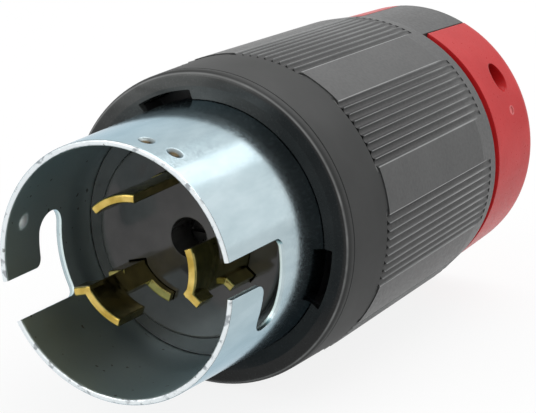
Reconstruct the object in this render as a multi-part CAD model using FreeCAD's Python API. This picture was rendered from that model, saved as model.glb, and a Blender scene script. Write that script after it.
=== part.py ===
# Heavy-duty locking plug for a generator power cord, lying on its side.
# The plug's axis is Y. The steel shell and the blades face -Y and the cord leaves towards +Y.
# The origin is on the axis, in the plane of the front ring's face. Angles run from +X towards +Z.
# Millimetres.
import FreeCAD, Part

import math
import os

V = FreeCAD.Vector
ORIGIN = V(0, 0, 0)
AXIS = V(0, 1, 0)
TURN = V(0, -1, 0)

# ---- fits ----
slide_gap = 0.3          # moulded part in moulded part
pocket_gap = 0.3         # metal piece in its moulded pocket
thread_gap = 0.05        # screw in its thread, radial
shaft_gap = 0.1          # screw shank in a plain hole, radial

# ---- ground shell ----
shell_radius = 25.8
shell_wall = 1.2
shell_reach = 34.0       # how far the rim stands in front of the ring's face
shell_flange_back = 2.0  # back face of the flange that is clamped behind the carrier
shell_flange_width = 6.3
rim_chamfer = 0.3
slot_corner = 2.0
slot_near = 12.0         # locking leg's front edge, from the rim
slot_width = 7.8         # locking leg, along the axis
slot_starts = (13.2, -149.5)     # anticlockwise edge of each slot's entry
slot_entries = (16.0, 18.2)      # entry widths, degrees
slot_sweeps = (40.5, 41.8)       # locking leg, degrees from the same edge
dimples = ((79.8, 4.9), (66.3, 5.5), (167.8, 5.8))   # angle and distance from the rim
dimple_radius = 1.7
dimple_deep = 0.8
dimple_wall = 0.75       # metal left at the bottom of a dimple

# ---- blade carrier, the insulating face ----
carrier_gap = 0.12
carrier_land = 4.6       # outer land, in front of the shell's flange
carrier_face = 7.4       # raised face, in front of the shell's flange
carrier_step = 3.9       # width of the outer land
face_round = 0.9
carrier_neck = 6.0       # back end of the neck
screw_well_radius = 4.1
screw_well_floor = 1.5

# ---- blades ----
blade_angles = {"a": 111.5, "b": -128.0, "c": -0.5}
hooked_blades = "bc"
blade_inner = 11.9
blade_thick = 1.75
blade_half_span = 22.0
blade_tip = 7.0          # from the rim
blade_head = 9.2         # length of the full-width locking head
blade_neck_share = 0.47  # share of the width that the neck keeps
blade_shoulder = 1.6     # full width again, this far in front of the face
hook_reach = 3.7         # edge bent outward along the clockwise side, from the blade's inner face
hook_splay = 15.0        # its lean from square, degrees
hook_length = 4.8
hook_root = 8.0          # second stretch of bent edge, in front of the face
hook_slot_gap = 0.25
blade_nose = 0.55        # rounding of every front edge of a blade

# ---- terminal block ----
block_step = 1.7         # how much larger its radius is than the shell's
terminal_front = 10.0
terminal_back = 21.0
block_tail = 11.0        # block behind the terminals
blade_tail = 2.0         # blades and strap behind the terminals

# ---- phase terminals ----
lug_inset = 3.1          # top of the lug inside the block's radius
lug_half = 7.4
lug_wall = 1.8
lug_roof = 2.8
plate_thick = 1.8
plate_inset = 0.5
screw_radius = 3.0
screw_inset = 0.5
screw_bevel = 0.4

# ---- ground terminal ----
ground_angle = 55.5
ground_inset = 2.2
ground_high = 9.8
ground_half = 5.4
ground_wall = 1.2
ground_roof = 2.4
ground_plate = 1.5
ground_screw_radius = 2.5
strap_thick = 1.2
strap_foot_inset = 1.6
rivet_radius = 1.4
rivet_head = 2.4
rivet_head_high = 0.8
rivet_inset = 4.4

# ---- centre screw and nut ----
centre_radius = 2.0
centre_head_radius = 3.1
centre_head_high = 2.4
centre_end_spare = 1.3
nut_across = 7.0
nut_thick = 3.2
nut_depth = 1.0          # nut's front, behind the terminals
screw_slot = (0.8, 1.2)  # driver slot of every screw: width and depth
head_round = 0.4

# ---- front ring and collar ----
shell_room = 0.12        # ring's bore around the shell
ring_round = 1.4
ring_lip = 2.8           # width of the dished edge around the shell
ring_dish = 0.8
collar_back = 16.9
collar_drop = 0.2        # collar's back inside the sleeve's front
edge_line = 2.0          # fine groove behind the ring's edge
edge_line_wide = 0.35
edge_line_deep = 0.3
undercut_long = 1.0      # flats at the collar's back, in front of the ribbed panels
undercut_deep = 0.35
spigot_length = 6.0
spigot_wall = 1.5
bead_high = 0.3
bead_back = 3.8          # bead behind the collar
bead_long = 1.2
notch_angles = (111.0, -13.8, -127.0)
notch_half = 13.0
notch_wide = 2.0
notch_deep = 8.0
notch_under = 0.6        # how far the block's share of a notch reaches under the shell

# ---- grip sleeve ----
sleeve_wall = 2.2        # outside the ring's spigot
sleeve_back = 69.5
sleeve_bend = 7.5        # where the back starts to round in, from the back
sleeve_taper = 2.0       # radius lost from the front to the bend
sleeve_back_taper = 0.9  # and from the bend to the back
sleeve_edge = 0.6
chamber_step = 2.6       # chamber's radius inside the block's cavity
seal_step = 1.0
back_wall = 3.0
shoulder_thick = 3.0
ear_reach = 4.7
ear_half = 14.0
rib_panels = 8
rib_clock = 37.2         # centre of one ribbed panel
grooves_per_panel = 9
groove_pitch = 3.05      # degrees
groove_radius = 0.8
groove_front_deep = 0.75
groove_mid_deep = 0.55   # where the back starts to round in
groove_end = 3.5         # from the sleeve's back

# ---- tongues of the sleeve between the jaws ----
tongue_angle = 82.7
tongue_half_width = 7.6
tongue_thick = 6.1
tongue_short = 1.5       # tongue's end in front of the clamp's back
tongue_edge = 1.0

# ---- cord clamp ----
clamp_length = 21.2
clamp_inset = 0.4        # clamp's shoulder inside the sleeve's back
clamp_taper = 1.2
clamp_lip = 1.8
clamp_lip_deep = 1.1
clamp_round = 3.0
clamp_gap = 0.25
split_half_gap = 0.4
cord_radius = 9.0
cord_flare = 1.2
jaw_travel = 3.5
jaw_neck_wall = 1.8      # neck's half width outside the cord
jaw_foot_wall = 5.0
jaw_foot_thick = 3.3
jaw_foot_spare = 0.65
jaw_neck_step = 2.2

# ---- clamp screws ----
clamp_screw_inset = 9.9
clamp_screw_back = 11.9  # behind the clamp's front
clamp_screw_radius = 1.5
clamp_head_radius = 2.35
clamp_head_high = 2.4
clamp_head_seat = 13.0
clamp_screw_tip = 14.0
clamp_tip_room = 2.0
clamp_well_radius = 2.5
gate_turn = 26.8         # round gate recess, from the middle of a jaw
gate_radius = 0.8
gate_deep = 0.35

# ---- body screws and seal ----
body_screw_angles = (-64.0, 172.0)
body_screw_radius = 1.5
body_head_radius = 2.7
body_head_high = 2.2
body_screw_bite = 11.0
seal_thick = 3.4
seal_spare = 0.5
seal_hole = 8.0
seal_lip = 1.0
seal_funnel = 5.0

# ---- worked out from the sizes above ----
rim = -shell_reach
shell_inner = shell_radius - shell_wall
shell_flange_radius = shell_radius - shell_flange_width
flange_front = shell_flange_back - shell_wall
land = flange_front - carrier_land
face = flange_front - carrier_face
carrier_radius = shell_inner - carrier_gap
carrier_face_radius = carrier_radius - carrier_step
neck_radius = shell_flange_radius - slide_gap
blade_outer = blade_inner + blade_thick
blade_back = terminal_back + blade_tail
block_radius = shell_radius + block_step
block_back = terminal_back + block_tail
tail_half = math.degrees((lug_half - lug_wall - pocket_gap) / blade_outer)
tail_room = tail_half + math.degrees(shaft_gap / blade_inner)
lug_floor = blade_inner * math.cos(math.radians(tail_half)) - pocket_gap
lug_bottom = lug_floor - lug_wall
lug_top = block_radius - lug_inset
roof = lug_top - lug_roof
screw_top = block_radius - screw_inset
ground_top = block_radius - ground_inset
ground_bottom = ground_top - ground_high
ground_floor = ground_bottom + ground_wall
ground_roof_in = ground_top - ground_roof
strap_half = ground_half - ground_wall - pocket_gap
strap_foot_top = shell_radius - strap_foot_inset
rivet_place = shell_radius - rivet_inset
nut_front = terminal_back + nut_depth
centre_end = nut_front + nut_thick + centre_end_spare
ring_bore = shell_radius + shell_room
ring_face_inner = ring_bore + ring_lip
notch_radius = ring_bore + notch_wide
cavity_radius = block_radius + slide_gap
spigot_radius = cavity_radius + spigot_wall
socket_radius = spigot_radius + slide_gap
spigot_back = collar_back + spigot_length
bead_front = collar_back + bead_back
seat = block_back + slide_gap
sleeve_front_radius = socket_radius + sleeve_wall
sleeve_mid = sleeve_back - sleeve_bend
sleeve_mid_radius = sleeve_front_radius - sleeve_taper
sleeve_back_radius = sleeve_mid_radius - sleeve_back_taper
groove_back = sleeve_back - groove_end
ring_radius = sleeve_front_radius
collar_back_radius = sleeve_front_radius - collar_drop
panel_half = math.radians(grooves_per_panel * groove_pitch / 2)
undercut_radius = collar_back_radius * math.cos(panel_half) - undercut_deep
chamber_radius = cavity_radius - chamber_step
seal_radius = chamber_radius + seal_step
wall_front = sleeve_back - back_wall
foot_back = wall_front - slide_gap
foot_front = foot_back - jaw_foot_thick
seal_front = foot_front - seal_spare - seal_thick
body_screw_circle = chamber_radius - body_head_radius - slide_gap
body_screw_front = seat - body_screw_bite
ear_inner = body_screw_circle - ear_reach
clamp_front = sleeve_back + slide_gap
clamp_back = clamp_front + clamp_length
clamp_shoulder = clamp_front + clamp_lip
clamp_shoulder_radius = sleeve_back_radius - clamp_inset
clamp_lip_radius = clamp_shoulder_radius - clamp_lip_deep
tongue_inner = clamp_shoulder_radius - tongue_thick
tongue_back = clamp_back - tongue_short
jaw_neck_half = cord_radius + jaw_neck_wall
jaw_foot_half = cord_radius + jaw_foot_wall
jaw_foot_top = math.sqrt(seal_radius ** 2 - jaw_foot_half ** 2) - jaw_travel - jaw_foot_spare
jaw_neck_top = jaw_foot_top - jaw_neck_step
jaw_window = jaw_neck_top + jaw_travel + slide_gap
neck_window = cord_radius + split_half_gap + slide_gap
clamp_screw_offset = clamp_shoulder_radius - clamp_screw_inset
clamp_screw_place = clamp_front + clamp_screw_back


def about(shape, angle):
    """The shape turned about the plug's axis, from +X towards +Z."""
    turned_shape = shape.copy()
    turned_shape.rotate(ORIGIN, TURN, angle)
    return turned_shape


def turned(points, angle=360.0, start=0.0):
    """A closed outline of (radius, y) points turned about the plug's axis."""
    corners = [V(r, y, 0) for r, y in points]
    wire = Part.makePolygon(corners + corners[:1])
    return about(Part.Face(wire).revolve(ORIGIN, TURN, angle), start)


def rounded(radius, y, size):
    """Outline points of a rounded outer edge, from the face at y to the side."""
    steps = [k * math.pi / 12 for k in range(7)]
    return [(radius - size * (1 - math.sin(t)), y + size * (1 - math.cos(t))) for t in steps]


def nosed(inner, outer, y0, y1):
    """Outline points of a strip of blade, with its front edge rounded on both sides."""
    outside = rounded(outer, y0, blade_nose)
    inside = [(inner + outer - r, y) for r, y in reversed(outside)]
    return inside + outside + [(outer, y1), (inner, y1)]


def tube(inner, outer, y0, y1):
    body = Part.makeCylinder(outer, y1 - y0, V(0, y0, 0), AXIS)
    if inner > 0:
        body = body.cut(Part.makeCylinder(inner, y1 - y0, V(0, y0, 0), AXIS))
    return body


def sector(inner, outer, y0, y1, low, high):
    """A piece of tube between two angles."""
    outline = [(inner, y0), (outer, y0), (outer, y1), (inner, y1)]
    return turned(outline, high - low, low)


def block(r0, r1, y0, y1, half):
    """A box that faces +X: r0 to r1 outward, half to each side."""
    return Part.makeBox(r1 - r0, y1 - y0, 2 * half, V(r0, y0, -half))


def rod_x(radius, x0, x1, y, z=0.0):
    return Part.makeCylinder(radius, x1 - x0, V(x0, y, z), V(1, 0, 0))


def rod_y(radius, y0, y1, x=0.0, z=0.0):
    return Part.makeCylinder(radius, y1 - y0, V(x, y0, z), AXIS)


def joined(shapes):
    whole = shapes[0].multiFuse(shapes[1:]) if len(shapes) > 1 else shapes[0]
    return whole.removeSplitter()


def ground_shell():
    outline = [
        (shell_inner, rim + rim_chamfer),
        (shell_inner + rim_chamfer, rim),
        (shell_radius - rim_chamfer, rim),
        (shell_radius, rim + rim_chamfer),
        (shell_radius, shell_flange_back),
        (shell_flange_radius, shell_flange_back),
        (shell_flange_radius, flange_front),
        (shell_inner, flange_front),
    ]
    shell = turned(outline)
    for start, entry, sweep in zip(slot_starts, slot_entries, slot_sweeps):
        shell = shell.cut(locking_slot(start, entry, sweep))
    ball = (dimple_radius ** 2 + dimple_deep ** 2) / (2 * dimple_deep)
    for angle, place in dimples:
        centre = V(shell_radius - dimple_deep + ball, rim + place, 0)
        bump = Part.makeSphere(ball + dimple_wall, centre).common(tube(0, shell_radius, rim, flange_front))
        pit = Part.makeSphere(ball, centre)
        shell = shell.fuse(about(bump, angle)).cut(about(pit, angle))
    rivet_hole = rod_y(rivet_radius, flange_front - 1, shell_flange_back + 1, rivet_place)
    return shell.cut(about(rivet_hole, ground_angle))


def locking_slot(start, entry, sweep):
    """L-shaped slot: straight in from the rim, then round the shell, clockwise."""
    low = shell_inner - 2
    high = shell_radius + 2
    near = rim + slot_near
    far = near + slot_width
    half = slot_width / 2
    end = start - sweep + math.degrees(half / shell_radius)
    straight = sector(low, high, rim - 5, far, start - entry, start)
    leg = sector(low, high, near, far, end, start)
    cutter = joined([straight, leg])
    corners = []
    for edge in cutter.Edges:
        ends = [vertex.Point for vertex in edge.Vertexes]
        if len(ends) < 2 or abs(ends[0].y - ends[1].y) > 1e-6 or ends[0].y < rim:
            continue
        reach = abs(math.hypot(ends[0].x, ends[0].z) - math.hypot(ends[1].x, ends[1].z))
        at_end = abs(angle_of(ends[0]) - angle_in_turn(end)) < 0.01
        if reach > high - low - 1e-6 and not at_end:
            corners.append(edge)
    cutter = cutter.makeFillet(slot_corner, corners)
    return cutter.fuse(about(rod_x(half, low, high, near + half), end))


def angle_in_turn(angle):
    return (angle + 180.0) % 360.0 - 180.0


def angle_of(point):
    return math.degrees(math.atan2(point.z, point.x))


def bent_edge(angle, y0, y1, gap=0.0):
    """The strip bent outward along a blade's clockwise edge, or the room for it."""
    half = blade_thick / 2 + gap
    corners = [V(-gap, y, z) for z, y in nosed(-half, half, y0, y1)]
    wire = Part.makePolygon(corners + corners[:1])
    strip = Part.Face(wire).extrude(V(hook_reach + 2 * gap, 0, 0))
    edge = math.radians(-blade_half_span) + blade_thick / 2 / blade_inner
    strip.rotate(ORIGIN, TURN, -blade_half_span - hook_splay)
    strip.translate(V(blade_inner * math.cos(edge), 0, blade_inner * math.sin(edge)))
    return about(strip, angle)


def blade_slot(name, gap, edge_gap, y0, y1, least=0.0):
    """Room for a blade's own section: an arc of at least that half width, and its bent edge."""
    angle = blade_angles[name]
    half = max(blade_half_span + math.degrees(gap / blade_inner), least)
    room = sector(blade_inner - gap, blade_outer + gap, y0, y1, angle - half, angle + half)
    if name in hooked_blades:
        room = room.fuse(bent_edge(angle, y0, y1, edge_gap))
    return room


def blade_carrier():
    outline = [
        (0, face),
        *rounded(carrier_face_radius, face, face_round),
        (carrier_face_radius, land),
        (carrier_radius, land),
        (carrier_radius, flange_front),
        (neck_radius, flange_front),
        (neck_radius, carrier_neck),
        (0, carrier_neck),
    ]
    carrier = turned(outline)
    carrier = carrier.cut(rod_y(screw_well_radius, face - 2, screw_well_floor))
    carrier = carrier.cut(rod_y(centre_radius + shaft_gap, face, carrier_neck + 1))
    for name in blade_angles:
        carrier = carrier.cut(blade_slot(name, shaft_gap, hook_slot_gap, face - 2, carrier_neck + 1))
    rivet_room = rod_y(rivet_head + pocket_gap, flange_front - rivet_head_high - pocket_gap,
                       carrier_neck + 1, rivet_place)
    carrier = carrier.cut(about(rivet_room, ground_angle))
    strap_room = block(ground_floor - pocket_gap, neck_radius + 1, flange_front, carrier_neck + 1,
                       strap_half + pocket_gap)
    return carrier.cut(about(strap_room, ground_angle))


def blade(name):
    """Curved blade: locking head, narrow neck, shoulder, and the tail that the wire is clamped to."""
    angle = blade_angles[name]
    tip = rim + blade_tip
    head_back = tip + blade_head
    shoulder = face - blade_shoulder
    low = angle - blade_half_span
    high = angle + blade_half_span
    neck_high = low + 2 * blade_half_span * blade_neck_share
    head = turned(nosed(blade_inner, blade_outer, tip, head_back), high - low, low)
    neck = sector(blade_inner, blade_outer, head_back, shoulder, low, neck_high)
    foot = sector(blade_inner, blade_outer, shoulder, carrier_neck, low, high)
    tail = sector(blade_inner, blade_outer, carrier_neck, blade_back, angle - tail_half, angle + tail_half)
    pieces = [head, neck, foot, tail]
    if name in hooked_blades:
        pieces.append(bent_edge(angle, tip, tip + hook_length))
        pieces.append(bent_edge(angle, face - hook_root, carrier_neck - 1))
    return joined(pieces)


def terminal_lug(bottom, top, half, wall, roof_thick, thread):
    """Box lug, open at both ends, with the screw's thread in its outer wall."""
    outside = block(bottom, top, terminal_front, terminal_back, half)
    inside = block(bottom + wall, top - roof_thick, terminal_front - 1, terminal_back + 1, half - wall)
    middle = (terminal_front + terminal_back) / 2
    return outside.cut(inside).cut(rod_x(thread, top - roof_thick - 1, top + 1, middle))


def pressure_plate(top, thick, half):
    return block(top - thick, top, terminal_front + plate_inset, terminal_back - plate_inset, half)


def terminal_screw(radius, bottom):
    """Headless screw with a driver slot; it turns in the lug and bears on the plate."""
    middle = (terminal_front + terminal_back) / 2
    width, deep = screw_slot
    body = rod_x(radius, bottom, screw_top, middle)
    ends = [edge for edge in body.Edges if edge.Closed]
    body = body.makeChamfer(screw_bevel, ends)
    corner = V(screw_top - deep, middle - 1.5 * radius, -width / 2)
    return body.cut(Part.makeBox(deep + 1, 3 * radius, width, corner))


def terminal_block():
    body = tube(0, block_radius, shell_flange_back, block_back)
    body = body.cut(tube(0, shell_flange_radius, shell_flange_back - 1, carrier_neck + slide_gap))
    gap = pocket_gap
    for name, angle in blade_angles.items():
        pocket = block(lug_bottom - gap, block_radius + 1, terminal_front - gap, terminal_back + gap,
                       lug_half + gap)
        entry = block(lug_floor, roof, terminal_front, block_back + 1, lug_half - lug_wall)
        body = body.cut(about(pocket, angle)).cut(about(entry, angle))
        slot = blade_slot(name, gap, hook_slot_gap, carrier_neck - 1, terminal_front + 1, tail_room)
        body = body.cut(slot)
    body = body.cut(about(ground_pocket(), ground_angle))
    notch_inner = shell_radius - notch_under
    for angle in notch_angles:
        low = angle - notch_half
        high = angle + notch_half
        notch = sector(notch_inner, block_radius + 1, shell_flange_back - 1, notch_deep, low, high)
        body = body.cut(notch)
    body = body.cut(rod_y(centre_radius + shaft_gap, 0, block_back + 1))
    body = body.cut(hexagon(nut_across / 2 + 0.1, nut_front, block_back + 1))
    for angle in body_screw_angles:
        hole = rod_y(body_screw_radius + thread_gap, body_screw_front - 1, block_back + 1, body_screw_circle)
        body = body.cut(about(hole, angle))
    return body


def ground_pocket():
    gap = pocket_gap
    half = strap_half + gap
    foot_depth = shell_flange_back + strap_thick + rivet_head_high + gap
    pocket = block(ground_bottom - gap, block_radius + 1, terminal_front - gap, terminal_back + gap,
                   ground_half + gap)
    entry = block(ground_floor, ground_roof_in, terminal_front, block_back + 1, half)
    tail_room = block(ground_floor - gap, ground_floor + strap_thick + gap, 0, terminal_front + 1, half)
    foot_room = block(ground_floor - gap, strap_foot_top + gap, 0, foot_depth, half)
    return joined([pocket, entry, tail_room, foot_room])


def hexagon(half_across, y0, y1):
    corner = half_across / math.cos(math.pi / 6)
    points = [V(corner * math.cos(k * math.pi / 3), y0, corner * math.sin(k * math.pi / 3)) for k in range(6)]
    wire = Part.makePolygon(points + points[:1])
    return Part.Face(wire).extrude(V(0, y1 - y0, 0))


def ground_strap():
    """Bent strip: its foot lies on the back of the shell's flange and its tail is in the ground lug."""
    foot_back_face = shell_flange_back + strap_thick
    foot = block(ground_floor, strap_foot_top, shell_flange_back, foot_back_face, strap_half)
    tail = block(ground_floor, ground_floor + strap_thick, shell_flange_back, blade_back, strap_half)
    strap = joined([foot, tail])
    strap = strap.cut(rod_y(rivet_radius, 0, foot_back_face + 1, rivet_place))
    return about(strap, ground_angle)


def strap_rivet():
    front = flange_front
    back = shell_flange_back + strap_thick
    shank = rod_y(rivet_radius, front, back, rivet_place)
    front_head = rod_y(rivet_head, front - rivet_head_high, front, rivet_place)
    back_head = rod_y(rivet_head, back, back + rivet_head_high, rivet_place)
    return about(joined([shank, front_head, back_head]), ground_angle)


def slotted_screw(radius, length, head_radius, head_high):
    """Screw along +Y with its head's top at y = 0; the shank starts under the head."""
    head = Part.makeCylinder(head_radius, head_high, ORIGIN, AXIS)
    top = [edge for edge in head.Edges if edge.BoundBox.YMax < 1e-6 and edge.Closed]
    head = head.makeFillet(head_round, top)
    shank = Part.makeCylinder(radius, length, V(0, head_high, 0), AXIS)
    width, deep = screw_slot
    slot = Part.makeBox(4 * head_radius, deep, width, V(-2 * head_radius, 0, -width / 2))
    return joined([head, shank]).cut(slot)


def centre_screw():
    top = screw_well_floor - centre_head_high
    screw = slotted_screw(centre_radius, centre_end - screw_well_floor, centre_head_radius, centre_head_high)
    screw.translate(V(0, top, 0))
    return screw


def centre_nut():
    nut = hexagon(nut_across / 2, nut_front, nut_front + nut_thick)
    return nut.cut(rod_y(centre_radius + thread_gap, nut_front - 1, nut_front + nut_thick + 1))


def front_ring():
    outline = [
        (ring_bore, ring_dish),
        (ring_face_inner, 0),
        *rounded(ring_radius, 0, ring_round),
        (ring_radius, edge_line),
        (ring_radius - edge_line_deep, edge_line + edge_line_wide / 2),
        (ring_radius, edge_line + edge_line_wide),
        (collar_back_radius, collar_back),
        (spigot_radius, collar_back),
        (spigot_radius, bead_front),
        (spigot_radius + bead_high, bead_front + bead_long / 2),
        (spigot_radius, bead_front + bead_long),
        (spigot_radius, spigot_back),
        (cavity_radius, spigot_back),
        (cavity_radius, shell_flange_back),
        (ring_bore, shell_flange_back),
    ]
    ring = turned(outline)
    for angle in notch_angles:
        notch = sector(ring_bore - 1, notch_radius, -1, notch_deep, angle - notch_half, angle + notch_half)
        ring = ring.cut(notch)
    for angle in panel_centres():
        flat = block(undercut_radius, ring_radius + 1, collar_back - undercut_long, collar_back, ring_radius)
        ring = ring.cut(about(flat, angle))
    return ring


def panel_centres():
    return [rib_clock + panel * 360.0 / rib_panels for panel in range(rib_panels)]


def grip_groove(angle):
    """One groove along the grip. It gets shallower towards the back, and ends where that rounds in."""
    front = V(sleeve_front_radius + groove_radius - groove_front_deep, collar_back, 0)
    middle = V(sleeve_mid_radius + groove_radius - groove_mid_deep, sleeve_mid, 0)
    along = middle.sub(front)
    along.normalize()
    start = front.sub(along * 3)
    return about(Part.makeCylinder(groove_radius, groove_back - start.y, start, along), angle)


def grip_sleeve():
    outline = [
        (socket_radius, collar_back),
        (sleeve_front_radius, collar_back),
        (sleeve_mid_radius, sleeve_mid),
        (sleeve_back_radius, sleeve_back - sleeve_edge),
        (sleeve_back_radius - sleeve_edge, sleeve_back),
        (neck_window, sleeve_back),
        (neck_window, wall_front),
        (seal_radius, wall_front),
        (seal_radius, seal_front),
        (chamber_radius, seal_front),
        (chamber_radius, seat),
        (cavity_radius, seat),
        (cavity_radius, spigot_back + slide_gap),
        (socket_radius, spigot_back + slide_gap),
        (socket_radius, bead_front + bead_long),
        (socket_radius + bead_high, bead_front + bead_long / 2),
        (socket_radius, bead_front),
    ]
    sleeve = turned(outline)
    ear_back = seat + shoulder_thick
    for angle in body_screw_angles:
        ear = sector(ear_inner, cavity_radius, seat, ear_back, angle - ear_half, angle + ear_half)
        hole = rod_y(body_screw_radius + shaft_gap, seat - 1, ear_back + 1, body_screw_circle)
        sleeve = sleeve.fuse(ear).cut(about(hole, angle))
    window = block(-jaw_window, jaw_window, wall_front - 1, sleeve_back + 1, jaw_neck_half + slide_gap)
    sleeve = sleeve.cut(about(window, tongue_angle - 90))
    for side in (0, 180):
        sleeve = sleeve.fuse(tongue(tongue_angle + side))
    grooves = []
    for centre in panel_centres():
        for k in range(grooves_per_panel):
            angle = centre + (k - (grooves_per_panel - 1) / 2) * groove_pitch
            grooves.append(grip_groove(angle))
    return sleeve.cut(grooves)


def tongue(angle):
    """Tongue that reaches back between the two jaws, with sides along the jaws' slide."""
    edge_front = tongue_back - tongue_edge
    outline = [
        (0, sleeve_back - back_wall + 1),
        (sleeve_back_radius - sleeve_edge, sleeve_back - back_wall + 1),
        (clamp_outline_radius(sleeve_back), sleeve_back),
        (clamp_outline_radius(edge_front), edge_front),
        (clamp_outline_radius(edge_front) - tongue_edge, tongue_back),
        (0, tongue_back),
    ]
    sides = block(tongue_inner, ring_radius, wall_front, tongue_back + 1, tongue_half_width)
    return turned(outline).common(about(sides, angle))


def clamp_outline_radius(y):
    """Outer radius of the clamp's main surface, a shallow cone."""
    return clamp_shoulder_radius - clamp_taper * (y - clamp_shoulder) / (clamp_back - clamp_shoulder)


def cord_jaw():
    """Half of the cord clamp, on the +X side. The other half is the same piece turned half a turn."""
    round_start = clamp_back - clamp_round
    outline = [
        (0, clamp_front),
        (clamp_lip_radius, clamp_front),
        (clamp_lip_radius, clamp_shoulder - rim_chamfer),
        (clamp_outline_radius(clamp_shoulder), clamp_shoulder),
        (clamp_outline_radius(round_start), round_start),
    ]
    for k in range(1, 7):
        turn = k * math.pi / 12
        r = clamp_outline_radius(round_start) - clamp_round * (1 - math.cos(turn))
        outline.append((r, round_start + clamp_round * math.sin(turn)))
    outline.append((0, clamp_back))
    body = turned(outline)
    body = body.common(block(split_half_gap, ring_radius, clamp_front, clamp_back, ring_radius))
    neck = block(split_half_gap, jaw_neck_top, foot_front, clamp_front + 1, jaw_neck_half)
    foot = block(split_half_gap, jaw_foot_top, foot_front, foot_back, jaw_foot_half)
    body = joined([body, neck, foot])
    body = body.cut(rod_y(cord_radius, foot_front - 1, clamp_back + 1))
    flare_foot = V(0, clamp_back - cord_flare, 0)
    body = body.cut(Part.makeCone(cord_radius, cord_radius + cord_flare, cord_flare, flare_foot, AXIS))
    low = tongue_inner - clamp_gap
    for side in (-1, 1):
        start = low if side > 0 else -low - ring_radius
        corner = V(0, clamp_front - 1, start)
        notch = Part.makeBox(tongue_half_width + clamp_gap, clamp_length + 2, ring_radius, corner)
        body = body.cut(notch)
    well = rod_x(clamp_well_radius, clamp_head_seat, ring_radius, clamp_screw_place, clamp_screw_offset)
    plain = rod_x(clamp_screw_radius + shaft_gap, -1, ring_radius, clamp_screw_place, clamp_screw_offset)
    deep = clamp_screw_tip + clamp_tip_room
    thread = rod_x(clamp_screw_radius + thread_gap, -1, deep, clamp_screw_place, -clamp_screw_offset)
    body = body.cut(well).cut(plain).cut(thread)
    gate_floor = clamp_outline_radius(clamp_screw_place) - gate_deep
    gate = rod_x(gate_radius, gate_floor, ring_radius, clamp_screw_place)
    return body.cut(about(gate, gate_turn))


def jaw_screw():
    """Clamp screw of the +X jaw: its head is in the well and its tip in the other jaw."""
    head_top = clamp_head_seat + clamp_head_high
    length = clamp_head_seat + clamp_screw_tip
    screw = slotted_screw(clamp_screw_radius, length, clamp_head_radius, clamp_head_high)
    screw.rotate(ORIGIN, V(0, 0, 1), 90)
    screw.translate(V(head_top, clamp_screw_place, clamp_screw_offset))
    return screw


def body_screws():
    screws = []
    for angle in body_screw_angles:
        length = seat + shoulder_thick - body_screw_front
        screw = slotted_screw(body_screw_radius, length, body_head_radius, body_head_high)
        screw.rotate(ORIGIN, V(0, 0, 1), 180)
        screw.translate(V(body_screw_circle, seat + shoulder_thick + body_head_high, 0))
        screws.append(about(screw, angle))
    return Part.makeCompound(screws)


def dust_seal():
    back = seal_front + seal_thick
    outline = [
        (seal_hole, back - seal_lip),
        (seal_hole + seal_funnel, seal_front),
        (seal_radius - shaft_gap, seal_front),
        (seal_radius - shaft_gap, back),
        (seal_hole, back),
    ]
    return turned(outline)


def build():
    clamp_clock = tongue_angle - 90
    parts = {
        "ground_shell": ground_shell(),
        "blade_carrier": blade_carrier(),
        "terminal_block": terminal_block(),
        "ground_strap": ground_strap(),
        "strap_rivet": strap_rivet(),
        "centre_screw": centre_screw(),
        "centre_nut": centre_nut(),
        "front_ring": front_ring(),
        "grip_sleeve": grip_sleeve(),
        "body_screws": body_screws(),
        "dust_seal": dust_seal(),
        "cord_jaw_a": about(cord_jaw(), clamp_clock),
        "cord_jaw_b": about(cord_jaw(), clamp_clock + 180),
        "jaw_screw_a": about(jaw_screw(), clamp_clock),
        "jaw_screw_b": about(jaw_screw(), clamp_clock + 180),
    }
    for name, angle in blade_angles.items():
        lug = terminal_lug(lug_bottom, lug_top, lug_half, lug_wall, lug_roof, screw_radius + thread_gap)
        plate = pressure_plate(roof, plate_thick, lug_half - lug_wall - pocket_gap)
        parts["blade_" + name] = blade(name)
        parts["terminal_lug_" + name] = about(lug, angle)
        parts["pressure_plate_" + name] = about(plate, angle)
        parts["terminal_screw_" + name] = about(terminal_screw(screw_radius, roof), angle)
    ground_lug = terminal_lug(ground_bottom, ground_top, ground_half, ground_wall, ground_roof,
                              ground_screw_radius + thread_gap)
    ground_press = pressure_plate(ground_roof_in, ground_plate, ground_half - ground_wall - pocket_gap)
    parts["terminal_lug_ground"] = about(ground_lug, ground_angle)
    parts["pressure_plate_ground"] = about(ground_press, ground_angle)
    parts["terminal_screw_ground"] = about(terminal_screw(ground_screw_radius, ground_roof_in), ground_angle)
    return parts


def main():
    os.makedirs("parts", exist_ok=True)
    for name, shape in build().items():
        solids = shape.Solids
        if not shape.isValid() or not solids:
            raise ValueError(name + " is not a valid solid")
        result = solids[0] if len(solids) == 1 else Part.makeCompound(solids)
        result.exportStep(os.path.join("parts", name + ".step"))
        print(name, len(solids), round(sum(solid.Volume for solid in solids), 1))


main()
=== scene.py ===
import math

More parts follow.
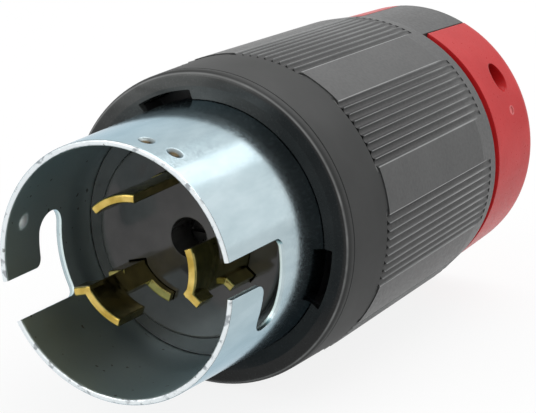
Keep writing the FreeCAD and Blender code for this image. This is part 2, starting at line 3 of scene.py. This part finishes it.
import bpy
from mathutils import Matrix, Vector


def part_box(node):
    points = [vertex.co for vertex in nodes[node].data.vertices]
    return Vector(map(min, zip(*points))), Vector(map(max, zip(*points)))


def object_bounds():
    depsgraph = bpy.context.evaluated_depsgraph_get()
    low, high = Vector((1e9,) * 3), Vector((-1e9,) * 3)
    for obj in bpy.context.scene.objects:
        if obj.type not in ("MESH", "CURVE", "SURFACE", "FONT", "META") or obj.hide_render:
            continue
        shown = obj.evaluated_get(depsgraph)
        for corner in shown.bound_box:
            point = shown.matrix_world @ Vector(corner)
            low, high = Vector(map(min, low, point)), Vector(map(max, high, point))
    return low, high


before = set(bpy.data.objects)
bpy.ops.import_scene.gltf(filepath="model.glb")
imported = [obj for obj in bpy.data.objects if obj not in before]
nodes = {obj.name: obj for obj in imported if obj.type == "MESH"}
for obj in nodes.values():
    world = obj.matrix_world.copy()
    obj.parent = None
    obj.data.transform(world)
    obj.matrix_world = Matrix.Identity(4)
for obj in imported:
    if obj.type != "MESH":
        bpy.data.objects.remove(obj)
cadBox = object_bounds()
mm = 0.001
print("stage: frame loaded, %d nodes" % len(nodes))


# Every finish is built from noise on Object coordinates, so it stays with its piece.
# A noise is written as its scale, its detail and, where it is drawn out, its stretch.
noiseSpan = {"patch": (0.35, 0.7), "grain": (0.3, 0.7)}  # the part of a noise that counts, from none to full


def feed(tree, socket, value):
    # another node's output is linked, a number or a colour is set
    if isinstance(value, bpy.types.NodeSocket):
        tree.links.new(value, socket)
    elif isinstance(value, tuple):
        socket.default_value = (*value, 1.0)
    else:
        socket.default_value = value


def startMaterial(name, color, rough, metal=0.0):
    material = bpy.data.materials.new(name)
    material.use_nodes = True
    tree = material.node_tree
    shader = tree.nodes["Principled BSDF"]
    shader.inputs["Base Color"].default_value = (*color, 1.0)
    shader.inputs["Roughness"].default_value = rough
    shader.inputs["Metallic"].default_value = metal
    place = tree.nodes.new("ShaderNodeTexCoord")
    return material, tree, shader, place.outputs["Object"]


def addNoise(tree, place, scale, detail, stretch=None):
    if stretch:
        mapping = tree.nodes.new("ShaderNodeMapping")
        mapping.inputs["Scale"].default_value = stretch
        tree.links.new(place, mapping.inputs["Vector"])
        place = mapping.outputs["Vector"]
    noise = tree.nodes.new("ShaderNodeTexNoise")
    noise.inputs["Scale"].default_value = scale
    noise.inputs["Detail"].default_value = detail
    tree.links.new(place, noise.inputs["Vector"])
    return noise.outputs["Fac"]


def addMath(tree, kind, first, second, third=0.0):
    step = tree.nodes.new("ShaderNodeMath")
    step.operation = kind
    for socket, value in zip(step.inputs, (first, second, third)):
        feed(tree, socket, value)
    return step.outputs[0]


def addRange(tree, value, fromLow, fromHigh, toLow=0.0, toHigh=1.0):
    span = tree.nodes.new("ShaderNodeMapRange")
    span.inputs["From Min"].default_value = fromLow
    span.inputs["From Max"].default_value = fromHigh
    span.inputs["To Min"].default_value = toLow
    span.inputs["To Max"].default_value = toHigh
    tree.links.new(value, span.inputs["Value"])
    return span.outputs["Result"]


def addMix(tree, factor, first, second):
    # from one colour to another
    mix = tree.nodes.new("ShaderNodeMix")
    mix.data_type = "RGBA"
    tree.links.new(factor, mix.inputs[0])
    feed(tree, mix.inputs[6], first)
    feed(tree, mix.inputs[7], second)
    return mix.outputs[2]


def addBlend(tree, factor, first, second):
    # from one number to another
    mix = tree.nodes.new("ShaderNodeMix")
    tree.links.new(factor, mix.inputs[0])
    feed(tree, mix.inputs[2], first)
    feed(tree, mix.inputs[3], second)
    return mix.outputs[0]


def addRadius(tree, place):
    # distance from the plug's axis
    flat = tree.nodes.new("ShaderNodeVectorMath")
    flat.operation = "MULTIPLY"
    flat.inputs[1].default_value = (1.0, 0.0, 1.0)
    tree.links.new(place, flat.inputs[0])
    length = tree.nodes.new("ShaderNodeVectorMath")
    length.operation = "LENGTH"
    tree.links.new(flat.outputs["Vector"], length.inputs[0])
    return length.outputs["Value"]


def addDistance(tree, place, centre):
    far = tree.nodes.new("ShaderNodeVectorMath")
    far.operation = "DISTANCE"
    far.inputs[1].default_value = centre
    tree.links.new(place, far.inputs[0])
    return far.outputs["Value"]


def addAxes(tree, place):
    split = tree.nodes.new("ShaderNodeSeparateXYZ")
    tree.links.new(place, split.inputs["Vector"])
    return split.outputs


def addSoftEdge(tree, radius):
    bevel = tree.nodes.new("ShaderNodeBevel")
    bevel.samples = 6
    bevel.inputs["Radius"].default_value = radius
    return bevel.outputs["Normal"]


def addBump(tree, height, strength, distance, normal=None):
    bump = tree.nodes.new("ShaderNodeBump")
    bump.inputs["Strength"].default_value = strength
    bump.inputs["Distance"].default_value = distance
    tree.links.new(height, bump.inputs["Height"])
    if normal:
        tree.links.new(normal, bump.inputs["Normal"])
    return bump.outputs["Normal"]


# moulded plastics: colour, its lighter cloud, gloss, shine, strength of the grain, rounding of the edges
plasticLook = {
    "sleeveNylon": {"color": (0.036, 0.037, 0.037), "cloud": (0.046, 0.047, 0.047), "rough": 0.40,
                    "shine": 0.42, "grain": 0.10, "edge": 0.12 * mm},
    "ringNylon": {"color": (0.007, 0.0075, 0.0075), "cloud": (0.014, 0.015, 0.015), "rough": 0.24,
                  "shine": 0.25, "grain": 0.06, "edge": 0.2 * mm},
    "clampNylon": {"color": (0.44, 0.008, 0.010), "cloud": (0.52, 0.020, 0.022), "rough": 0.32,
                   "shine": 0.14, "grain": 0.10, "edge": 0.35 * mm},
    "facePlastic": {"color": (0.022, 0.021, 0.021), "cloud": (0.062, 0.058, 0.057), "rough": 0.10,
                    "shine": 0.5, "grain": 0.03, "edge": 0.25 * mm},
    "blockPlastic": {"color": (0.020, 0.020, 0.021), "cloud": (0.030, 0.030, 0.031), "rough": 0.4,
                     "shine": 0.4, "grain": 0.08, "edge": 0.25 * mm},
}

# what all the plastics share: gloss goes a little down and up with the grain
mouldLook = {
    "cloudNoise": (90.0, 4.0), "grainNoise": (1500.0, 3.0),
    "smoother": 0.05, "rougher": 0.07, "grainDeep": 0.1 * mm,
}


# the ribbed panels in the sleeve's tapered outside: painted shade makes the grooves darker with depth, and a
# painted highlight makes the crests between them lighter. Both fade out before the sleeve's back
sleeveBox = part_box("grip_sleeve")
paintedGrooveShade = {
    "front": sleeveBox[0][1], "radius": sleeveBox[1][0], "taper": 0.0443,
    "fadeFrom": 61.0 * mm, "fadeTo": 64.0 * mm,
    "clock": 37.2, "panel": 45.0, "half": 13.95, "halfFade": 0.1,
    "crestTop": 0.12 * mm, "crestFoot": 0.34 * mm, "deep": 0.7 * mm, "glint": 6.0, "shade": 0.05,
}


def addPaintedRibShade(tree, place, color):
    look = paintedGrooveShade
    axes = addAxes(tree, place)
    lost = addMath(tree, "MULTIPLY_ADD", axes["Y"], look["taper"], -look["front"] * look["taper"])
    depth = addMath(tree, "SUBTRACT", look["radius"], addMath(tree, "ADD", addRadius(tree, place), lost))
    # painted shade in the grooves, painted highlight on the crests
    paintedValleyShade = addRange(tree, depth, look["crestFoot"], look["deep"], 0.0, look["shade"] - 1.0)
    paintedCrestHighlight = addRange(tree, depth, look["crestTop"], look["crestFoot"], look["glint"] - 1.0, 0.0)
    turn = addMath(tree, "ARCTAN2", axes["Z"], axes["X"])
    angle = addMath(tree, "MULTIPLY", turn, math.degrees(1.0))
    fromPanel = addMath(tree, "SUBTRACT", angle, look["clock"])
    across = addMath(tree, "WRAP", fromPanel, look["panel"] / 2, -look["panel"] / 2)
    across = addMath(tree, "ABSOLUTE", across, 0.0)
    panel = addRange(tree, across, look["half"], look["half"] + look["halfFade"], 1.0, 0.0)
    change = addMath(tree, "MULTIPLY_ADD", paintedCrestHighlight, panel, paintedValleyShade)
    fade = addRange(tree, axes["Y"], look["fadeFrom"], look["fadeTo"], 1.0, 0.0)
    light = addMath(tree, "MULTIPLY_ADD", change, fade, 1.0)
    shaded = tree.nodes.new("ShaderNodeVectorMath")
    shaded.operation = "SCALE"
    tree.links.new(color, shaded.inputs[0])
    tree.links.new(light, shaded.inputs["Scale"])
    return shaded.outputs["Vector"]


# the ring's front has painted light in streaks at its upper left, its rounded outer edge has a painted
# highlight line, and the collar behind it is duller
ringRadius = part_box("front_ring")[1][0]
collarLook = {
    "innerRadius": ringRadius - 0.8 * mm, "outerRadius": ringRadius - 0.3 * mm, "rough": 0.58,
    "color": (0.024, 0.025, 0.0245), "cloud": (0.034, 0.035, 0.0345), "edge": (0.23, 0.233, 0.23),
    "paintedLight": (0.098, 0.100, 0.097), "paintedLightPlace": (-9.0 * mm, 0.0, 29.0 * mm),
    "paintedLightSize": 27.0 * mm, "paintedLightFull": 0.3,
    "streakNoise": (260.0, 4.0, (0.3, 1.0, 1.0)), "streakSpan": (0.3, 0.65), "streakLeast": 0.45,
}


def addCollarToneAndPaintedLight(tree, place, patch, color, rough):
    look = collarLook
    streaks = addRange(tree, addNoise(tree, place, *look["streakNoise"]), *look["streakSpan"],
                       look["streakLeast"], 1.0)
    # painted light on the ring's front at its upper left, broken up by the streaks
    far = addDistance(tree, place, look["paintedLightPlace"])
    paintedLight = addRange(tree, far, look["paintedLightSize"], look["paintedLightSize"] * look["paintedLightFull"])
    color = addMix(tree, addMath(tree, "MULTIPLY", paintedLight, streaks), color, look["paintedLight"])
    outside = addRange(tree, addRadius(tree, place), look["innerRadius"], look["outerRadius"])
    collar = addMix(tree, patch, look["color"], look["cloud"])
    color = addMix(tree, outside, color, collar)
    # painted highlight line along the ring's rounded outer edge
    paintedEdgeHighlight = addMath(tree, "MULTIPLY", addMath(tree, "PINGPONG", outside, 0.5), 2.0)  # full in its middle
    color = addMix(tree, addMath(tree, "MULTIPLY", paintedEdgeHighlight, streaks), color, look["edge"])
    return color, addBlend(tree, outside, rough, look["rough"])


# the clamp's round gate recesses are painted paler, a painted highlight, one on each jaw
gateHighlightLook = {
    "place": (26.3 * mm, 81.7 * mm, 9.31 * mm), "color": (0.72, 0.20, 0.20),
    "size": 1.15 * mm, "full": 0.7,
}


def addGatePaintedHighlight(tree, place, color):
    look = gateHighlightLook
    along = look["place"][1]
    for side in (1, -1):
        centre = (side * look["place"][0], along, side * look["place"][2])
        far = addDistance(tree, place, centre)
        # painted highlight: each recess is painted paler
        paintedHighlight = addRange(tree, far, look["size"], look["size"] * look["full"])
        color = addMix(tree, paintedHighlight, color, look["color"])
    return color


def makePlastic(name):
    look = plasticLook[name]
    material, tree, shader, place = startMaterial(name, look["color"], look["rough"])
    shader.inputs["Specular IOR Level"].default_value = look["shine"]
    cloud = addNoise(tree, place, *mouldLook["cloudNoise"])
    grain = addNoise(tree, place, *mouldLook["grainNoise"])
    patch = addRange(tree, cloud, *noiseSpan["patch"])
    color = addMix(tree, patch, look["color"], look["cloud"])
    rough = addRange(tree, grain, *noiseSpan["grain"],
                     look["rough"] - mouldLook["smoother"], look["rough"] + mouldLook["rougher"])
    if name == "sleeveNylon":
        color = addPaintedRibShade(tree, place, color)
    if name == "ringNylon":
        color, rough = addCollarToneAndPaintedLight(tree, place, patch, color, rough)
    if name == "clampNylon":
        color = addGatePaintedHighlight(tree, place, color)
    tree.links.new(color, shader.inputs["Base Color"])
    tree.links.new(rough, shader.inputs["Roughness"])
    normal = addBump(tree, grain, look["grain"], mouldLook["grainDeep"], addSoftEdge(tree, look["edge"]))
    tree.links.new(normal, shader.inputs["Normal"])
    return material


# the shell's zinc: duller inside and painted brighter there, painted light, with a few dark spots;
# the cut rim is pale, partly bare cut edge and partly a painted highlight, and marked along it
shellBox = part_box("ground_shell")
zincLook = {
    "grazing": (0.70, 0.83, 0.91),
    "dark": (0.40, 0.49, 0.52), "light": (0.48, 0.57, 0.60), "inside": (0.70, 0.82, 0.82),
    "rim": (0.80, 0.85, 0.87), "rimMark": (0.36, 0.39, 0.41), "spot": (0.30, 0.33, 0.32),
    "insideRadius": shellBox[1][0] - 0.6 * mm, "insideFade": 0.2 * mm,
    "rimPlace": shellBox[0][1] + 0.28 * mm, "rimFade": 0.1 * mm,
    "roughStart": 0.2, "roughOut": (0.11, 0.20), "roughIn": (0.30, 0.42), "roughRim": 0.32,
    "spangleNoise": (260.0, 3.0, (1.0, 0.3, 1.0)), "spangleSpan": (0.35, 0.68),
    "speckNoise": (1900.0, 4.0), "dentNoise": (650.0, 3.0),
    "markNoise": (520.0, 3.0), "markSpan": (0.58, 0.68),
    "spotNoise": (900.0, 0.0), "spotSpan": (0.79, 0.84),
    "mottleBump": (0.05, 0.25 * mm), "dentBump": (0.9, 0.4 * mm), "speckBump": (0.05, 0.08 * mm),
    "edge": 0.25 * mm,
}

# the pressed dimples: the top two have a brown stain in the hollow, the one on the left is dull and
# painted white, a painted highlight
dimpleLook = {
    "size": 2.1 * mm, "sizeFull": 0.8, "tintSize": 1.9 * mm, "tintFull": 0.5,
    "dimples": (
        {"place": (4.48, -29.1, 25.0), "tint": (0.05, 0.036, 0.018), "rough": 0.30},
        {"place": (10.2, -28.5, 23.2), "tint": (0.05, 0.036, 0.018), "rough": 0.30},
        # the left dimple's white is a painted highlight
        {"place": (-24.4, -28.2, 5.3), "tint": (1.0, 1.0, 1.0), "rough": 0.6},
    ),
}


def addDimples(tree, place, color, rough):
    look = dimpleLook
    for dimple in look["dimples"]:
        far = addDistance(tree, place, [axis * mm for axis in dimple["place"]])
        hollow = addRange(tree, far, look["size"], look["size"] * look["sizeFull"])
        rough = addBlend(tree, hollow, rough, dimple["rough"])
        # brown stain in the top two, painted highlight in the left one
        tinted = addRange(tree, far, look["tintSize"], look["tintSize"] * look["tintFull"])
        color = addMix(tree, tinted, color, dimple["tint"])
    return color, rough


def makeZinc():
    look = zincLook
    material, tree, shader, place = startMaterial("brightZinc", look["light"], look["roughStart"], 1.0)
    shader.inputs["Specular Tint"].default_value = (*look["grazing"], 1.0)
    radius = look["insideRadius"]
    inside = addRange(tree, addRadius(tree, place), radius, radius - look["insideFade"])
    rim = addRange(tree, addAxes(tree, place)["Y"], look["rimPlace"], look["rimPlace"] - look["rimFade"])

    spangle = addNoise(tree, place, *look["spangleNoise"])
    plate = addMix(tree, addRange(tree, spangle, *look["spangleSpan"]), look["dark"], look["light"])
    marks = addRange(tree, addNoise(tree, place, *look["markNoise"]), *look["markSpan"])
    edge = addMix(tree, marks, look["rim"], look["rimMark"])
    # painted light: the inside gets a brighter colour; the rim's pale colour is partly a painted highlight
    color = addMix(tree, rim, addMix(tree, inside, plate, look["inside"]), edge)
    spots = addRange(tree, addNoise(tree, place, *look["spotNoise"]), *look["spotSpan"])
    color = addMix(tree, addMath(tree, "MULTIPLY", inside, spots), color, look["spot"])

    speck = addNoise(tree, place, *look["speckNoise"])
    outer = addRange(tree, speck, *noiseSpan["grain"], *look["roughOut"])
    inner = addRange(tree, speck, *noiseSpan["grain"], *look["roughIn"])
    rough = addBlend(tree, rim, addBlend(tree, inside, outer, inner), look["roughRim"])
    color, rough = addDimples(tree, place, color, rough)
    tree.links.new(rough, shader.inputs["Roughness"])
    tree.links.new(color, shader.inputs["Base Color"])

    normal = addBump(tree, spangle, *look["mottleBump"], addSoftEdge(tree, look["edge"]))
    dents = addMath(tree, "MULTIPLY", rim, addNoise(tree, place, *look["dentNoise"]))
    normal = addBump(tree, dents, *look["dentBump"], normal)
    normal = addBump(tree, speck, *look["speckBump"], normal)
    tree.links.new(normal, shader.inputs["Normal"])
    return material


# brass, painted lighter where the blades' tips are cut and darker on its sides, a painted highlight
# and painted shade, with lighter patches on both
brassLook = {
    "cut": (0.42, 0.29, 0.055), "cutLight": (0.74, 0.55, 0.17),
    "cutPlace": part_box("blade_a")[0][1] + 0.22 * mm, "cutFade": 0.15 * mm,
    "side": (0.22, 0.19, 0.065), "sideLight": (0.40, 0.33, 0.11),
    "roughStart": 0.15, "rough": (0.12, 0.22), "edge": 0.45 * mm,
    "stainNoise": (300.0, 4.0), "drawnNoise": (600.0, 2.0, (1.0, 0.15, 1.0)), "dentNoise": (420.0, 1.0),
    "dentBump": (0.25, 0.4 * mm), "drawnBump": (0.04, 0.05 * mm),
}


def makeBrass():
    look = brassLook
    material, tree, shader, place = startMaterial("blankedBrass", look["cut"], look["roughStart"], 1.0)
    tint = addNoise(tree, place, *look["stainNoise"])
    patch = addRange(tree, tint, *noiseSpan["patch"])
    # painted highlight on the tips' cut faces, painted shade on the sides
    tip = addRange(tree, addAxes(tree, place)["Y"], look["cutPlace"], look["cutPlace"] - look["cutFade"])
    sides = addMix(tree, patch, look["side"], look["sideLight"])
    cuts = addMix(tree, patch, look["cut"], look["cutLight"])
    tree.links.new(addMix(tree, tip, sides, cuts), shader.inputs["Base Color"])
    tree.links.new(addRange(tree, tint, *noiseSpan["grain"], *look["rough"]), shader.inputs["Roughness"])
    dents = addNoise(tree, place, *look["dentNoise"])
    normal = addBump(tree, dents, *look["dentBump"], addSoftEdge(tree, look["edge"]))
    drawn = addNoise(tree, place, *look["drawnNoise"])
    tree.links.new(addBump(tree, drawn, *look["drawnBump"], normal), shader.inputs["Normal"])
    return material


# screws, nut and rivet; the centre screw is painted near black, painted shade for its deep well
steelLook = {
    "platedSteel": {"dark": (0.44, 0.45, 0.45), "light": (0.60, 0.61, 0.62)},
    # painted shade: the centre screw's steel is near black for its deep well
    "paintedShadeSteel": {"dark": (0.018, 0.018, 0.018), "light": (0.034, 0.033, 0.032)},
    "roughStart": 0.3, "rough": (0.24, 0.42), "stainNoise": (500.0, 4.0), "edge": 0.15 * mm,
}


def makeSteel(name):
    look = steelLook
    tone = look[name]
    material, tree, shader, place = startMaterial(name, tone["light"], look["roughStart"], 1.0)
    tint = addNoise(tree, place, *look["stainNoise"])
    color = addMix(tree, addRange(tree, tint, *noiseSpan["patch"]), tone["dark"], tone["light"])
    tree.links.new(color, shader.inputs["Base Color"])
    tree.links.new(addRange(tree, tint, *noiseSpan["grain"], *look["rough"]), shader.inputs["Roughness"])
    tree.links.new(addSoftEdge(tree, look["edge"]), shader.inputs["Normal"])
    return material


rubberLook = {
    "color": (0.012, 0.012, 0.012), "dark": (0.009, 0.009, 0.009), "light": (0.020, 0.020, 0.019),
    "roughStart": 0.7, "rough": (0.6, 0.8), "grainNoise": (900.0, 4.0), "grainBump": (0.2, 0.15 * mm),
}


def makeRubber():
    look = rubberLook
    material, tree, shader, place = startMaterial("sealRubber", look["color"], look["roughStart"])
    grain = addNoise(tree, place, *look["grainNoise"])
    color = addMix(tree, addRange(tree, grain, *noiseSpan["patch"]), look["dark"], look["light"])
    tree.links.new(color, shader.inputs["Base Color"])
    tree.links.new(addRange(tree, grain, *noiseSpan["grain"], *look["rough"]), shader.inputs["Roughness"])
    tree.links.new(addBump(tree, grain, *look["grainBump"]), shader.inputs["Normal"])
    return material


finishes = {name: makePlastic(name) for name in plasticLook}
finishes["brightZinc"] = makeZinc()
finishes["blankedBrass"] = makeBrass()
finishes["platedSteel"] = makeSteel("platedSteel")
finishes["paintedShadeSteel"] = makeSteel("paintedShadeSteel")
finishes["sealRubber"] = makeRubber()

# by the start of the node's name
finishOf = {
    "ground_shell": "brightZinc", "blade_carrier": "facePlastic", "terminal_block": "blockPlastic",
    "front_ring": "ringNylon", "grip_sleeve": "sleeveNylon", "dust_seal": "sealRubber",
    "cord_jaw": "clampNylon", "jaw_screw": "platedSteel", "terminal_screw": "platedSteel",
    "body_screws": "platedSteel", "centre_screw": "paintedShadeSteel", "centre_nut": "platedSteel",
    "strap_rivet": "platedSteel", "ground_strap": "blankedBrass", "terminal_lug": "blankedBrass",
    "pressure_plate": "blankedBrass", "blade_a": "blankedBrass", "blade_b": "blankedBrass",
    "blade_c": "blankedBrass",
}


def dressNode(name, piece):
    family = max((key for key in finishOf if name.startswith(key)), key=len)
    piece.data.materials.clear()
    piece.data.materials.append(finishes[finishOf[family]])


for name, piece in nodes.items():
    dressNode(name, piece)
print("stage: materials on all nodes")


# floor, light and camera, in metres and degrees
studio = {
    "floorSize": 8.0, "floorGap": 0.2 * mm, "floorColor": (0.86, 0.86, 0.86), "floorGlow": 0.86,
    "worldLight": 0.65,
    "lampAim": (0.0, 0.02, 0.0),
    "lamps": {
        "topLamp": {"power": 6.5, "size": 0.9, "place": (0.15, 0.45, 0.95)},
        "frontLamp": {"power": 3.2, "size": 0.7, "place": (-0.55, -0.9, 0.75)},
        "backLamp": {"power": 0.5, "size": 0.8, "place": (0.44, 0.95, 0.46)},
        "stripLamp": {"power": 0.14, "size": 0.25, "place": (0.15, 0.91, 0.60)},
    },
    "cameraPlace": (0.3352, -0.5588, 0.1915), "cameraTurn": 29.90, "cameraTilt": 16.0,
    "cameraLens": 232.99, "sensorWidth": 36.0, "cameraNear": 0.01,
}


def seenRay(tree):
    # camera, mirror and glass rays all meet the white studio
    path = tree.nodes.new("ShaderNodeLightPath")
    seen = addMath(tree, "MAXIMUM", path.outputs["Is Camera Ray"], path.outputs["Is Glossy Ray"])
    return addMath(tree, "MAXIMUM", seen, path.outputs["Is Transmission Ray"])


def makeFloor():
    bpy.ops.object.select_all(action="DESELECT")
    under = cadBox[0][2] - studio["floorGap"]
    bpy.ops.mesh.primitive_plane_add(size=studio["floorSize"], location=(0, 0, under))
    floor = bpy.context.object
    floor.name = "studioFloor"
    material = bpy.data.materials.new("paleFloor")
    material.use_nodes = True
    tree = material.node_tree
    tree.nodes.remove(tree.nodes["Principled BSDF"])
    diffuse = tree.nodes.new("ShaderNodeBsdfDiffuse")
    diffuse.inputs["Color"].default_value = (*studio["floorColor"], 1.0)
    glow = tree.nodes.new("ShaderNodeEmission")
    glow.inputs["Strength"].default_value = 1.0
    mix = tree.nodes.new("ShaderNodeMixShader")
    share = addMath(tree, "MULTIPLY", seenRay(tree), studio["floorGlow"])
    tree.links.new(share, mix.inputs["Fac"])
    tree.links.new(diffuse.outputs[0], mix.inputs[1])
    tree.links.new(glow.outputs[0], mix.inputs[2])
    tree.links.new(mix.outputs[0], tree.nodes["Material Output"].inputs["Surface"])
    floor.data.materials.append(material)


def makeWorld():
    world = bpy.data.worlds.new("studio")
    bpy.context.scene.world = world
    world.use_nodes = True
    tree = world.node_tree
    sky = tree.nodes["Background"]
    sky.inputs["Color"].default_value = (1.0, 1.0, 1.0, 1.0)
    level = addRange(tree, seenRay(tree), 0.0, 1.0, studio["worldLight"], 1.0)
    tree.links.new(level, sky.inputs["Strength"])


def addLamp(name, power, size, place):
    lamp = bpy.data.lights.new(name, "AREA")
    lamp.energy = power
    lamp.size = size
    piece = bpy.data.objects.new(name, lamp)
    bpy.context.scene.collection.objects.link(piece)
    piece.location = place
    piece.rotation_euler = (Vector(studio["lampAim"]) - Vector(place)).to_track_quat("-Z", "Y").to_euler()


def addCamera():
    camera = bpy.data.cameras.new("camera")
    camera.lens = studio["cameraLens"]
    camera.sensor_width = studio["sensorWidth"]
    camera.clip_start = studio["cameraNear"]
    piece = bpy.data.objects.new("camera", camera)
    bpy.context.scene.collection.objects.link(piece)
    piece.location = studio["cameraPlace"]
    tilt = math.radians(90.0 - studio["cameraTilt"])
    piece.rotation_euler = (tilt, 0.0, math.radians(studio["cameraTurn"]))
    bpy.context.scene.camera = piece


makeFloor()
makeWorld()
for name, lamp in studio["lamps"].items():
    addLamp(name, **lamp)
addCamera()
bpy.context.scene.view_settings.view_transform = "Standard"
print("stage: floor, lamps and camera")
